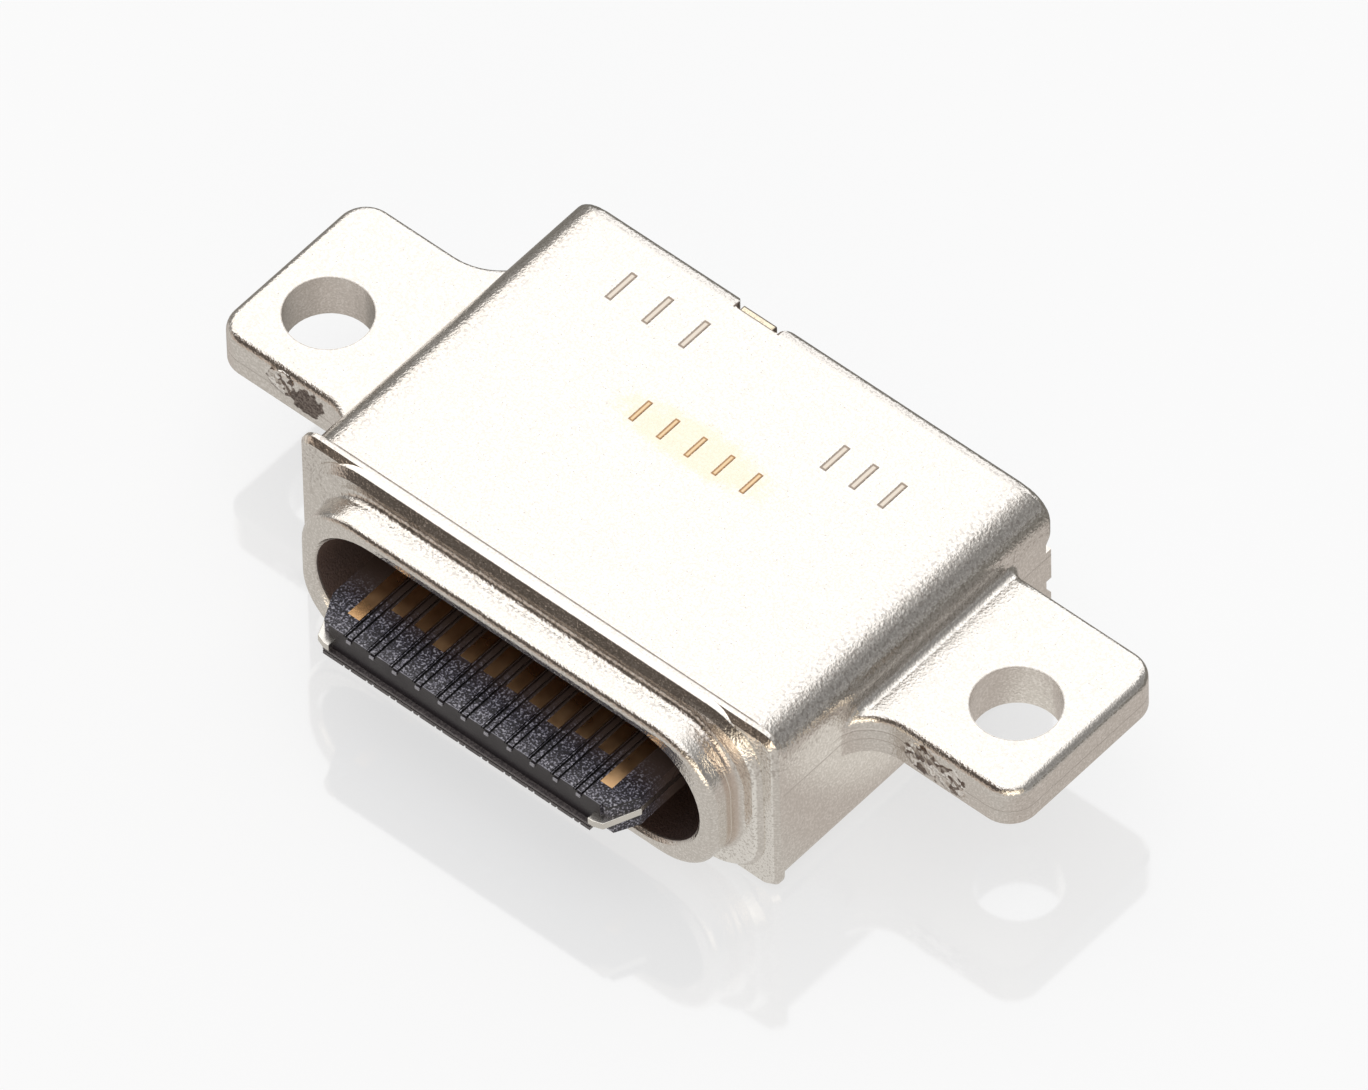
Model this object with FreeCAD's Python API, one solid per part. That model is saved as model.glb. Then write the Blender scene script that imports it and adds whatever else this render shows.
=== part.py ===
import FreeCAD, Part
import math
import os

# Screw-on port socket with a moulded metal shell.
# X runs across the port, Y from the mouth to the rear and Z upwards, in millimetres.
# Every piece is first placed from the port's datum: the tongue's mid-plane, at the front
# ends of the two outer contacts. At the end the whole part is moved onto its flange.

# Contact field of the tongue
contact_spacing = 0.50
contacts_in_a_row = 12
contact_width = 0.25
contact_thickness = 0.12
power_setback = 0.39
signal_setback = 0.51
power_positions = (4, 9)
ground_positions = (1, 12)

# Tongue
tongue_thickness = 0.70
tongue_width = 6.69
tongue_tip_lead = 0.39
tip_chamfer_across = 0.28
tip_chamfer_along = 0.55
tip_band_height = 0.16
tip_band_lead = 0.09
tip_band_left = -3.02
tip_band_right = 2.79
band_groove_height = 0.03
band_groove_depth = 0.04
band_groove_drop = 0.05
upper_relief_start = 2.95
upper_relief_depth = 0.05
lower_relief_depth = 0.12
tongue_length = 4.41
base_thickness = 1.32
base_length = 1.03
groove_width = 0.045
groove_depth = 0.04
groove_strip_width = 0.09
fine_groove_width = 0.02
fine_groove_offset = 0.125
nub_height = 0.06
nub_lead = 0.035
nub_drop = 0.05

# Middle plate of the tongue
mid_plate_thickness = 0.15
mid_plate_inset = 0.05
plate_corner_lead = 0.17
plate_corner_start = 2.82
plate_corner_slant_across = 0.13
plate_corner_slant_along = 0.06
plate_side_lead = 0.04
mid_plate_rear_step = 0.355
mid_plate_rear_reach = 1.20
latch_notch_depth = 0.28
latch_notch_length = 1.30
latch_notch_start = 2.05

# Shell, front to rear
tongue_stick_out = 1.01
lip_length = 0.65
boss_height = 0.15
flange_thickness = 0.23
body_length = 6.80

# Shell, across and up
mouth_width = 8.34
mouth_height = 2.56
mouth_edge_chamfer = 0.06
lip_side_wall = 0.34
lip_top_wall = 0.30
lip_corner_radius = 1.20
lip_front_radius = 0.15
lip_root_radius = 0.15
boss_side_step = 0.42
boss_corner_radius = 1.15
boss_edge_chamfer = 0.13
flange_side_rim = 0.26
flange_height = 3.82
flange_corner_radius = 0.35
flange_edge_chamfer = 0.10
flange_back_chamfer = 0.05
body_side_inset = 0.05
body_top_height = 1.85
body_bottom_drop = 1.78
body_top_radius = 0.66
body_bottom_radius = 0.30
body_rear_top_radius = 0.30
body_rear_side_radius = 0.12

# Ears
ear_length = 3.22
ear_width = 3.76
ear_thickness = 0.93
ear_top_height = 0.90
ear_corner_radius = 0.55
ear_top_edge_radius = 0.20
ear_bottom_chamfer = 0.09
ear_root_sink = 0.03
ear_front_root_radius = 0.80
hole_radius = 0.78
hole_end_distance = 1.31
left_ear_setback = 1.21
left_hole_setback = 1.42
left_rear_root_radius = 1.20
right_ear_setback = 2.02
right_hole_setback = 1.62
right_rear_root_radius = 0.25
ear_cove_radius = 0.18

# Rear chamber, its rebate and the notches in its edge
chamber_side_wall = 0.69
chamber_height = 2.84
chamber_corner_radius = 0.40
rebate_side_wall = 0.49
rebate_height = 3.10
rear_plate_thickness = 0.11
rear_plate_setback = 0.20
rear_plate_gap = 0.02
top_notch_centre = -1.02
top_notch_width = 0.92
top_notch_radius = 0.30
top_tab_width = 0.72
side_notch_low = -0.42
side_notch_high = 0.72
side_notch_depth = 0.19
side_shoulder_run = 0.28
side_shoulder_radius = 0.25
side_lug_low = -0.22
side_lug_high = 0.52
side_lug_setback = 0.065
tail_window_width = 6.30
tail_window_height = 0.66

# Insulator block, contact carriers and seal behind the mouth
block_length = 2.05
block_clearance = 0.02
carrier_width = 6.50
carrier_height = 0.62
carrier_start = 0.25
carrier_length = 1.80
carrier_blade_width = 6.10
carrier_blade_lead = 0.80

# Ground plates on the tongue base
ground_plate_thickness = 0.10
ground_plate_width = 6.00
ground_plate_lip = 0.42
ground_plate_bend = 0.12

# Solder tails
tail_width = 0.15
tail_shift = 0.125
tail_jog_length = 0.30
tail_jog_start = 0.35
tail_bend_run = 0.60
tail_bend_start = 1.00
tail_reach = 0.70

# Sizes and places that follow from the dimensions above
lip_width = mouth_width + 2 * lip_side_wall
lip_height = mouth_height + 2 * lip_top_wall
boss_width = lip_width + 2 * boss_side_step
flange_width = boss_width + 2 * flange_side_rim
body_width = flange_width - 2 * body_side_inset
ear_reach = body_width / 2 + ear_length
hole_offset_across = ear_reach - hole_end_distance
chamber_width = body_width - 2 * chamber_side_wall
rebate_width = body_width - 2 * rebate_side_wall
mid_plate_rear_width = tongue_width + 2 * mid_plate_rear_step
row_half_span = contact_spacing * (contacts_in_a_row - 1) / 2
tongue_half = tongue_thickness / 2
base_half = base_thickness / 2
plate_half = mid_plate_thickness / 2
mouth_half = mouth_height / 2
flange_half = flange_height / 2
tongue_tip_y = -tongue_tip_lead
lip_front_y = tongue_tip_y + tongue_stick_out
boss_front_y = lip_front_y + lip_length
flange_front_y = boss_front_y + boss_height
flange_back_y = flange_front_y + flange_thickness
body_rear_y = flange_back_y + body_length
base_front_y = tongue_tip_y + tongue_length
chamber_front_y = base_front_y + base_length
block_rear_y = chamber_front_y + block_length
rebate_front_y = body_rear_y - rear_plate_thickness - rear_plate_setback
side_notch_y = body_rear_y - side_notch_depth
tail_end_y = body_rear_y + tail_reach
board_plane_z = ear_top_height - ear_thickness
tip_front_y = tongue_tip_y - tip_band_lead
overlap = 0.30


def vec(x, y, z):
    return FreeCAD.Vector(x, y, z)


def box(x_low, x_high, y_low, y_high, z_low, z_high):
    return Part.makeBox(x_high - x_low, y_high - y_low, z_high - z_low, vec(x_low, y_low, z_low))


def rounded_wire(points, radii):
    """Closed outline through the points, each corner rounded by its own radius."""
    starts = []
    ends = []
    middles = []
    count = len(points)
    for index in range(count):
        corner = points[index]
        back = (points[index - 1] - corner).normalize()
        ahead = (points[(index + 1) % count] - corner).normalize()
        half_angle = back.getAngle(ahead) / 2
        radius = radii[index]
        reach = radius / math.tan(half_angle)
        bisector = (back + ahead).normalize()
        centre = corner + bisector * (radius / math.sin(half_angle))
        starts.append(corner + back * reach)
        ends.append(corner + ahead * reach)
        middles.append(centre - bisector * radius)
    edges = []
    for index in range(count):
        if radii[index] > 0:
            edges.append(Part.Arc(starts[index], middles[index], ends[index]).toShape())
        following = starts[(index + 1) % count]
        if ends[index].distanceToPoint(following) > 1e-6:
            edges.append(Part.LineSegment(ends[index], following).toShape())
    return Part.Wire(edges)


def prism(points, radii, direction):
    return Part.Face(rounded_wire(points, radii)).extrude(direction)


def port_prism(width, z_low, z_high, radii, y_low, y_high):
    """Rounded rectangle seen from the front, from one Y to another.

    The radii are those of the lower left, lower right, upper right and upper left corners.
    """
    half = width / 2
    corners = [vec(-half, y_low, z_low), vec(half, y_low, z_low)]
    corners += [vec(half, y_low, z_high), vec(-half, y_low, z_high)]
    return prism(corners, radii, vec(0, y_high - y_low, 0))


def centred_prism(width, height, radius, y_low, y_high):
    return port_prism(width, -height / 2, height / 2, [radius] * 4, y_low, y_high)


def edges_where(shape, test):
    return [edge for edge in shape.Edges if test(edge.BoundBox)]


def in_plane_y(level):
    return lambda b: abs(b.YMin - level) < 1e-4 and abs(b.YMax - level) < 1e-4


def in_plane_z(level):
    return lambda b: abs(b.ZMin - level) < 1e-4 and abs(b.ZMax - level) < 1e-4


def round_edges(shape, radius, test):
    return shape.makeFillet(radius, edges_where(shape, test))


def mirrored(shape):
    """The same piece on the other side of the tongue's mid-plane."""
    return shape.mirror(vec(0, 0, 0), vec(0, 0, 1))


def joined(shapes):
    whole = shapes[0].fuse(shapes[1:])
    return whole.removeSplitter()


def tongue_outline(z_low, z_high, tip_y, rear_y):
    """Blade of the tongue with its two chamfered front corners."""
    half = tongue_width / 2
    front_half = half - tip_chamfer_across
    side_y = tongue_tip_y + tip_chamfer_along
    points = [vec(-front_half, tip_y, z_low), vec(front_half, tip_y, z_low)]
    points += [vec(half, side_y, z_low), vec(half, rear_y, z_low)]
    points += [vec(-half, rear_y, z_low), vec(-half, side_y, z_low)]
    return prism(points, [0] * 6, vec(0, 0, z_high - z_low))


def front_collar():
    """Lip round the mouth, and the raised boss that it stands on."""
    lip = centred_prism(lip_width, lip_height, lip_corner_radius, lip_front_y, boss_front_y + overlap)
    lip = round_edges(lip, lip_front_radius, in_plane_y(lip_front_y))
    boss_end_y = (flange_front_y + flange_back_y) / 2
    boss = centred_prism(boss_width, flange_height, boss_corner_radius, boss_front_y, boss_end_y)
    boss = boss.makeChamfer(boss_edge_chamfer, edges_where(boss, in_plane_y(boss_front_y)))
    collar = joined([boss, lip])
    half_lip = lip_width / 2 + 1e-3
    on_boss = in_plane_y(boss_front_y)
    collar = round_edges(collar, lip_root_radius, lambda b: on_boss(b) and b.XMax < half_lip
                         and b.XMin > -half_lip and b.ZMax < lip_height / 2 + 1e-3
                         and b.ZMin > -lip_height / 2 - 1e-3)
    mouth = centred_prism(mouth_width, mouth_height, mouth_half, lip_front_y - 1, boss_end_y + 1)
    collar = collar.cut(mouth)
    half_mouth = mouth_width / 2 + 1e-3
    on_lip = in_plane_y(lip_front_y)
    rim = edges_where(collar, lambda b: on_lip(b) and b.XMax < half_mouth and b.XMin > -half_mouth
                      and b.ZMax < mouth_half + 1e-3 and b.ZMin > -mouth_half - 1e-3)
    return collar.makeChamfer(mouth_edge_chamfer, rim)


def flange():
    plate = centred_prism(flange_width, flange_height, flange_corner_radius, flange_front_y, flange_back_y)
    plate = plate.makeChamfer(flange_edge_chamfer, edges_where(plate, in_plane_y(flange_front_y)))
    return plate.makeChamfer(flange_back_chamfer, edges_where(plate, in_plane_y(flange_back_y)))


def rear_rim_rounded(tube):
    """The tube with its rear rim rounded: wide along the top and narrow down the sides."""
    document = FreeCAD.newDocument("rim")
    base = document.addObject("Part::Feature", "tube")
    base.Shape = tube
    fillet = document.addObject("Part::Fillet", "rounded_tube")
    fillet.Base = base
    on_rim = in_plane_y(body_rear_y)
    rounded = []
    for number, edge in enumerate(tube.Edges, 1):
        if on_rim(edge.BoundBox) and edge.BoundBox.ZMax > -body_bottom_drop + 1e-3:
            radii = [body_rear_top_radius if corner.Z > body_top_height - 1e-3 else body_rear_side_radius
                     for corner in (edge.Vertexes[0], edge.Vertexes[-1])]
            rounded.append((number, radii[0], radii[1]))
    fillet.Edges = rounded
    document.recompute()
    shape = fillet.Shape.copy()
    FreeCAD.closeDocument(document.Name)
    return shape


def body_box():
    """Box behind the flange, with its long edges and its rear rim rounded."""
    front_y = flange_front_y + flange_thickness / 2
    low_z = -body_bottom_drop
    tube = port_prism(body_width, low_z, body_top_height, [0, 0, body_top_radius, body_top_radius],
                      front_y, body_rear_y)
    below = port_prism(body_width, low_z, body_top_height, [body_bottom_radius, body_bottom_radius, 0, 0],
                       front_y, body_rear_y)
    return rear_rim_rounded(tube).common(below)


def ear(side, front_y, rear_root_radius, hole_y):
    """Screw ear on the left (side -1) or right (side +1) of the body."""
    wall_x = body_width / 2
    rear_y = front_y + ear_width
    inner_x = wall_x - ear_top_edge_radius - overlap / 2
    root_x = wall_x - ear_root_sink
    low_y = front_y - ear_front_root_radius - 0.1
    high_y = rear_y + rear_root_radius + 0.1
    plan = [(inner_x, low_y, 0), (root_x, low_y, 0), (root_x, front_y, ear_front_root_radius)]
    plan += [(ear_reach, front_y, ear_corner_radius), (ear_reach, rear_y, ear_corner_radius)]
    plan += [(root_x, rear_y, rear_root_radius), (root_x, high_y, 0), (inner_x, high_y, 0)]
    points = [vec(side * x, y, board_plane_z) for x, y, radius in plan]
    plate = prism(points, [radius for x, y, radius in plan], vec(0, 0, ear_thickness))
    on_top = in_plane_z(ear_top_height)
    on_bottom = in_plane_z(board_plane_z)
    free_x = wall_x + 1e-3
    plate = round_edges(plate, ear_top_edge_radius, lambda b: on_top(b) and max(b.XMax, -b.XMin) > free_x)
    bottom = edges_where(plate, lambda b: on_bottom(b) and max(b.XMax, -b.XMin) > free_x)
    plate = plate.makeChamfer(ear_bottom_chamfer, bottom)
    hole = Part.makeCylinder(hole_radius, ear_thickness + 2,
                             vec(side * hole_offset_across, hole_y, board_plane_z - 1))
    return plate.cut(hole)


def with_ear(body, side, plate):
    """The body with one ear, their joint hollowed round along the ear's top."""
    whole = joined([body, plate])
    wall_x = side * body_width / 2
    on_top = in_plane_z(ear_top_height)
    joint = edges_where(whole, lambda b: on_top(b) and abs(b.XMin - wall_x) < 1e-4
                        and abs(b.XMax - wall_x) < 1e-4)
    return whole.makeFillet(ear_cove_radius, joint)


def top_notch():
    """Gap in the rear top edge of the shell that the tab of the rear plate stands in."""
    end_y = body_rear_y + 1
    left = top_notch_centre - top_notch_width / 2
    right = top_notch_centre + top_notch_width / 2
    flare = top_notch_radius
    plan = [(left, rebate_front_y, 0), (right, rebate_front_y, 0), (right, body_rear_y, flare)]
    plan += [(right + 2 * flare, body_rear_y, 0), (right + 2 * flare, end_y, 0)]
    plan += [(left - 2 * flare, end_y, 0), (left - 2 * flare, body_rear_y, 0)]
    plan += [(left, body_rear_y, flare)]
    points = [vec(x, y, 0) for x, y, radius in plan]
    return prism(points, [radius for x, y, radius in plan], vec(0, 0, body_top_height + 1))


def side_notches():
    """Gap in the rear edge of both side walls, with slanting shoulders."""
    end_y = body_rear_y + 1
    run = side_shoulder_run
    beyond = 2 * side_shoulder_run
    bend = side_shoulder_radius
    outline = [(side_notch_y, side_notch_low, 0), (body_rear_y, side_notch_low - run, bend)]
    outline += [(body_rear_y, side_notch_low - beyond, 0), (end_y, side_notch_low - beyond, 0)]
    outline += [(end_y, side_notch_high + beyond, 0), (body_rear_y, side_notch_high + beyond, 0)]
    outline += [(body_rear_y, side_notch_high + run, bend), (side_notch_y, side_notch_high, 0)]
    points = [vec(-body_width, y, z) for y, z, radius in outline]
    return prism(points, [radius for y, z, radius in outline], vec(2 * body_width, 0, 0))


def side_lug(side):
    """Square lug that stands in the gap of one side wall."""
    inner = side * rebate_width / 2
    outer = side * body_width / 2
    return box(min(inner, outer), max(inner, outer), side_notch_y - overlap,
               body_rear_y - side_lug_setback, side_lug_low, side_lug_high)


def shell():
    left_front_y = flange_back_y + left_ear_setback
    right_front_y = flange_back_y + right_ear_setback
    left_ear = ear(-1, left_front_y, left_rear_root_radius, left_front_y + left_hole_setback)
    right_ear = ear(1, right_front_y, right_rear_root_radius, right_front_y + right_hole_setback)
    body = with_ear(with_ear(body_box(), -1, left_ear), 1, right_ear)
    solid = joined([body, flange()])
    mouth = centred_prism(mouth_width, mouth_height, mouth_half, lip_front_y, chamber_front_y + 0.1)
    chamber = centred_prism(chamber_width, chamber_height, chamber_corner_radius,
                            chamber_front_y, body_rear_y + 1)
    rebate = centred_prism(rebate_width, rebate_height, chamber_corner_radius,
                           rebate_front_y, body_rear_y + 1)
    solid = solid.cut([mouth, chamber, rebate, top_notch(), side_notches()])
    return joined([solid, front_collar(), side_lug(-1), side_lug(1)])


def contact_plan(z_low, setback, shift):
    """Flat stamped strip of one contact, with the sideways step to its tail."""
    half = contact_width / 2
    tail_half = tail_width / 2
    jog_y = chamber_front_y + tail_jog_start
    bend_y = chamber_front_y + tail_bend_start
    points = [vec(-half, setback, z_low), vec(half, setback, z_low), vec(half, jog_y, z_low)]
    points += [vec(shift + tail_half, jog_y + tail_jog_length, z_low), vec(shift + tail_half, bend_y, z_low)]
    points += [vec(shift - tail_half, bend_y, z_low), vec(shift - tail_half, jog_y + tail_jog_length, z_low)]
    points += [vec(-half, jog_y, z_low)]
    return prism(points, [0] * 8, vec(0, 0, contact_thickness))


def contact_tail(from_z, shift):
    """Bent strip from the tongue's row down or up to the board, and out to its foot."""
    to_z = board_plane_z + contact_thickness / 2
    start_y = chamber_front_y + tail_bend_start
    half = contact_thickness / 2
    left_x = shift - tail_width / 2
    bend_y = start_y + tail_bend_run
    slope = math.atan2(to_z - from_z, tail_bend_run)
    lead = half * math.tan(slope / 2)
    upper = [(start_y, from_z + half), (start_y + tail_jog_length - lead, from_z + half)]
    upper += [(bend_y + tail_jog_length - lead, to_z + half), (tail_end_y, to_z + half)]
    lower = [(tail_end_y, to_z - half), (bend_y + tail_jog_length + lead, to_z - half)]
    lower += [(start_y + tail_jog_length + lead, from_z - half), (start_y, from_z - half)]
    points = [vec(left_x, y, z) for y, z in upper + lower]
    return prism(points, [0] * 8, vec(tail_width, 0, 0))


def contact_setback(position):
    if position in ground_positions:
        return 0.0
    return power_setback if position in power_positions else signal_setback


def contact(position, row_side):
    """One contact: row_side +1 is the upper row, -1 the lower row."""
    face_z = row_side * tongue_half
    low_z = min(face_z, face_z - row_side * contact_thickness)
    shift = -row_side * tail_shift
    strip = contact_plan(low_z, contact_setback(position), shift)
    tail = contact_tail(low_z + contact_thickness / 2, shift)
    whole = joined([strip, tail])
    whole.translate(vec(-row_half_span + contact_spacing * (position - 1), 0, 0))
    return whole


def plate_corner(side):
    """Bare front corner of the middle plate, proud of the moulding round it."""
    outer_x = tongue_width / 2 + plate_side_lead
    front_y = tongue_tip_y - plate_corner_lead
    tip_x = tongue_width / 2 - tip_chamfer_across
    slant_x = tip_x - plate_corner_slant_across
    rear_y = tongue_tip_y + tip_chamfer_along
    outline = [(plate_corner_start, rear_y), (plate_corner_start, front_y), (slant_x, front_y)]
    outline += [(tip_x + plate_side_lead, front_y + plate_corner_slant_along), (outer_x, rear_y)]
    points = [vec(side * x, y, -plate_half) for x, y in outline]
    return prism(points, [0] * 5, vec(0, 0, mid_plate_thickness))


def mid_plate():
    """Steel plate in the middle of the tongue, bare at its corners and notched for latches."""
    blade = tongue_outline(-plate_half, plate_half, tongue_tip_y + mid_plate_inset, base_front_y)
    notch_y = tongue_tip_y + latch_notch_start
    inner_x = tongue_width / 2 - latch_notch_depth
    notches = [box(inner_x, tongue_width, notch_y, notch_y + latch_notch_length, -1, 1)]
    notches += [box(-tongue_width, -inner_x, notch_y, notch_y + latch_notch_length, -1, 1)]
    rear_y = chamber_front_y + mid_plate_rear_reach
    half_rear = mid_plate_rear_width / 2
    rear = box(-half_rear, half_rear, chamber_front_y + carrier_start, rear_y, -plate_half, plate_half)
    neck = box(-tongue_width / 2, tongue_width / 2, base_front_y, rear_y, -plate_half, plate_half)
    return joined([blade, plate_corner(-1), plate_corner(1), neck, rear]).cut(notches)


def carrier():
    """First moulding of the upper row: a block, and a thin blade below the contacts."""
    start_y = chamber_front_y + carrier_start
    half = carrier_width / 2
    blade_half = carrier_blade_width / 2
    block = box(-half, half, start_y, start_y + carrier_length, plate_half, plate_half + carrier_height)
    blade_top = tongue_half - contact_thickness
    blade = box(-blade_half, blade_half, carrier_blade_lead, start_y, plate_half, blade_top)
    return joined([block, blade])


def ground_plate():
    """Bent plate on top of the tongue base, with a lip up the face of the block."""
    low_z = base_half - ground_plate_thickness
    top_z = base_half + ground_plate_lip
    lip_y = chamber_front_y - ground_plate_thickness
    left_x = -ground_plate_width / 2
    inner = ground_plate_bend
    outer = ground_plate_bend + ground_plate_thickness
    section = [(base_front_y, low_z, 0), (chamber_front_y, low_z, outer), (chamber_front_y, top_z, 0)]
    section += [(lip_y, top_z, 0), (lip_y, base_half, inner), (base_front_y, base_half, 0)]
    points = [vec(left_x, y, z) for y, z, radius in section]
    return prism(points, [radius for y, z, radius in section], vec(ground_plate_width, 0, 0))


def tongue_grooves(fine_ones):
    """Grooves between neighbouring contacts, on the upper face."""
    cuts = []
    edge = groove_strip_width / 2
    for gap in range(contacts_in_a_row - 1):
        middle_x = -row_half_span + contact_spacing * (gap + 0.5)
        grooves = [(middle_x - edge - groove_width, groove_width), (middle_x + edge, groove_width)]
        if fine_ones:
            grooves.append((middle_x - fine_groove_offset, fine_groove_width))
        for left_x, width in grooves:
            cuts.append(box(left_x, left_x + width, tip_front_y - 1, base_front_y - overlap,
                            tongue_half - groove_depth, tongue_half + 1))
    return cuts


def corner_reliefs():
    """Steps in the tongue's front corners that leave the middle plate bare above and below."""
    low_y = tip_front_y - 1
    cuts = []
    for side in (-1, 1):
        near = side * upper_relief_start
        far = side * tongue_width
        cuts.append(box(min(near, far), max(near, far), low_y, tongue_tip_y + upper_relief_depth,
                        plate_half, tongue_half + 1))
    cuts.append(box(tip_band_right, tongue_width, low_y, tongue_tip_y + lower_relief_depth,
                    -tongue_half - 1, -plate_half))
    return cuts


def tip_nubs():
    """Small steps on the tongue's front face, one below each strip between two grooves."""
    nubs = []
    half = groove_strip_width / 2
    top_z = tongue_half - nub_drop
    for gap in range(contacts_in_a_row - 1):
        middle_x = -row_half_span + contact_spacing * (gap + 0.5)
        nubs.append(box(middle_x - half, middle_x + half, tongue_tip_y - nub_lead, tongue_tip_y + overlap,
                        top_z - nub_height, top_z))
    return nubs


def insulator(inner_pieces):
    """Black over-moulding: tongue, stepped base and the block that seats in the shell."""
    blade = tongue_outline(-tongue_half, tongue_half, tongue_tip_y, base_front_y + overlap)
    band = box(tip_band_left, tip_band_right, tip_front_y, tongue_tip_y + overlap,
               -tongue_half, -tongue_half + tip_band_height)
    groove_top_z = -tongue_half + tip_band_height - band_groove_drop
    band_groove = box(-tongue_width, tongue_width, tip_front_y - 1, tip_front_y + band_groove_depth,
                      groove_top_z - band_groove_height, groove_top_z)
    blade = joined([blade, band] + tip_nubs())
    upper_cuts = tongue_grooves(True)
    lower_cuts = [mirrored(cut) for cut in tongue_grooves(False)]
    blade = blade.cut(upper_cuts + lower_cuts + corner_reliefs() + [band_groove])
    notch_y = tongue_tip_y + latch_notch_start
    inner_x = tongue_width / 2 - latch_notch_depth
    notches = [box(inner_x, tongue_width, notch_y, notch_y + latch_notch_length, -1, 1)]
    notches += [box(-tongue_width, -inner_x, notch_y, notch_y + latch_notch_length, -1, 1)]
    blade = blade.cut(notches)
    half = tongue_width / 2
    base = box(-half, half, base_front_y, chamber_front_y + overlap, -base_half, base_half)
    block = centred_prism(chamber_width - 2 * block_clearance, chamber_height - 2 * block_clearance,
                          chamber_corner_radius - block_clearance, chamber_front_y, block_rear_y)
    return joined([blade, base, block]).cut(inner_pieces)


def rear_plate():
    """Stamped plate that closes the chamber, with a tab in the shell's top notch."""
    gap = rear_plate_gap
    front_y = rebate_front_y
    back_y = rebate_front_y + rear_plate_thickness
    sheet = centred_prism(rebate_width - 2 * gap, rebate_height - 2 * gap,
                          chamber_corner_radius - gap, front_y, back_y)
    tab_left = top_notch_centre - top_tab_width / 2
    top_tab = box(tab_left, tab_left + top_tab_width, front_y, back_y, 0, body_top_height)
    middle_z = board_plane_z + contact_thickness / 2
    window = box(-tail_window_width / 2, tail_window_width / 2, front_y - 1, back_y + 1,
                 middle_z - tail_window_height / 2, middle_z + tail_window_height / 2)
    return joined([sheet, top_tab]).cut(window)


def rear_seal(inner_pieces):
    """Poured seal that fills the chamber behind the insulator, round the contacts."""
    fill = centred_prism(chamber_width, chamber_height, chamber_corner_radius,
                         block_rear_y, rebate_front_y)
    return fill.cut(inner_pieces)


def contact_name(row_letter, position):
    kind = "ground" if position in ground_positions else "signal"
    if position in power_positions:
        kind = "power"
    return "%s_contact_%s%d" % (kind, row_letter, position)


def build_nodes():
    nodes = {}
    for row_letter, row_side in (("a", 1), ("b", -1)):
        for position in range(1, contacts_in_a_row + 1):
            nodes[contact_name(row_letter, position)] = contact(position, row_side)
    contacts = list(nodes.values())
    plate = mid_plate()
    upper_carrier = carrier()
    lower_carrier = mirrored(upper_carrier)
    upper_ground = ground_plate()
    lower_ground = mirrored(upper_ground)
    inner = contacts + [plate, upper_ground, lower_ground]
    nodes["mid_plate"] = plate
    nodes["upper_contact_carrier"] = upper_carrier.cut(contacts)
    nodes["lower_contact_carrier"] = lower_carrier.cut(contacts)
    nodes["upper_ground_plate"] = upper_ground
    nodes["lower_ground_plate"] = lower_ground
    nodes["tongue_insulator"] = insulator(inner + [upper_carrier, lower_carrier])
    nodes["rear_seal"] = rear_seal(contacts + [plate])
    nodes["rear_plate"] = rear_plate()
    nodes["shell"] = shell()
    return nodes


def main():
    os.makedirs("parts", exist_ok=True)
    middle_y = (tongue_tip_y - plate_corner_lead + tail_end_y) / 2
    onto_flange = vec(0, -middle_y, flange_half)
    for name, shape in build_nodes().items():
        shape.translate(onto_flange)
        shape.exportStep("parts/%s.step" % name)
        box_of = shape.BoundBox
        print("%-24s solids %d valid %s volume %.4f  X %.3f %.3f  Y %.3f %.3f  Z %.3f %.3f" % (
            name, len(shape.Solids), shape.isValid(), shape.Volume,
            box_of.XMin, box_of.XMax, box_of.YMin, box_of.YMax, box_of.ZMin, box_of.ZMax))


main()
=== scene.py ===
import math

import bmesh
import bpy
import numpy as np
from mathutils import Matrix, Vector


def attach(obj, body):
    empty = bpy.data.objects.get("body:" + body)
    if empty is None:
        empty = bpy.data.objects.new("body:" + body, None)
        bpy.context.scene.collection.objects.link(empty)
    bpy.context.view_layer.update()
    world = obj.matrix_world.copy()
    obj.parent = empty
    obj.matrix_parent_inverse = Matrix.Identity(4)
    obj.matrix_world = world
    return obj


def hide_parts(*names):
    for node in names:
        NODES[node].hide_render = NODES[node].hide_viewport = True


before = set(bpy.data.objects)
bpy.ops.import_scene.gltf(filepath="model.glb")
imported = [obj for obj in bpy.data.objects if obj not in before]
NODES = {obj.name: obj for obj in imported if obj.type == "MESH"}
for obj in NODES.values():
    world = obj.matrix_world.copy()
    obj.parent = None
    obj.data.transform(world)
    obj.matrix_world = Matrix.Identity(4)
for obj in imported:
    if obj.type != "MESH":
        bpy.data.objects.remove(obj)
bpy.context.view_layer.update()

MM = 0.001

# Camera: it looks at the middle of the body from the front right, through a long lens.
VIEW_AZIMUTH = math.radians(42.075)
VIEW_ELEVATION = math.radians(50.391)
VIEW_ROLL = math.radians(-1.446)
VIEW_DISTANCE = 551.844 * MM
VIEW_TARGET = Vector((0, -1.295, 1.91)) * MM
VIEW_RIGHT_SHIFT = 1.3745 * MM
VIEW_UP_SHIFT = 1.0051 * MM
VIEW_FOCAL_PIXELS = 33598.0
FRAME_PIXELS_WIDE = 1368
SENSOR_MM = 36.0

# Light: the level of the studio, and of the plain backdrop that only the camera sees
STUDIO_STRENGTH = 1.45
BACKDROP_STRENGTH = 0.96

# Shading of roundings: faces that meet below the flat angle count as one, and only an edge above the
# sharp angle stays sharp. A face square to the axes outweighs the roundings round it.
FLAT_ANGLE = math.radians(0.2)
SHARP_ANGLE = math.radians(42)
SQUARE_ON_WEIGHT = 1000.0
SQUARE_ON_COSINE = 0.99999
LEAST_LENGTH = 1e-30

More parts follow.
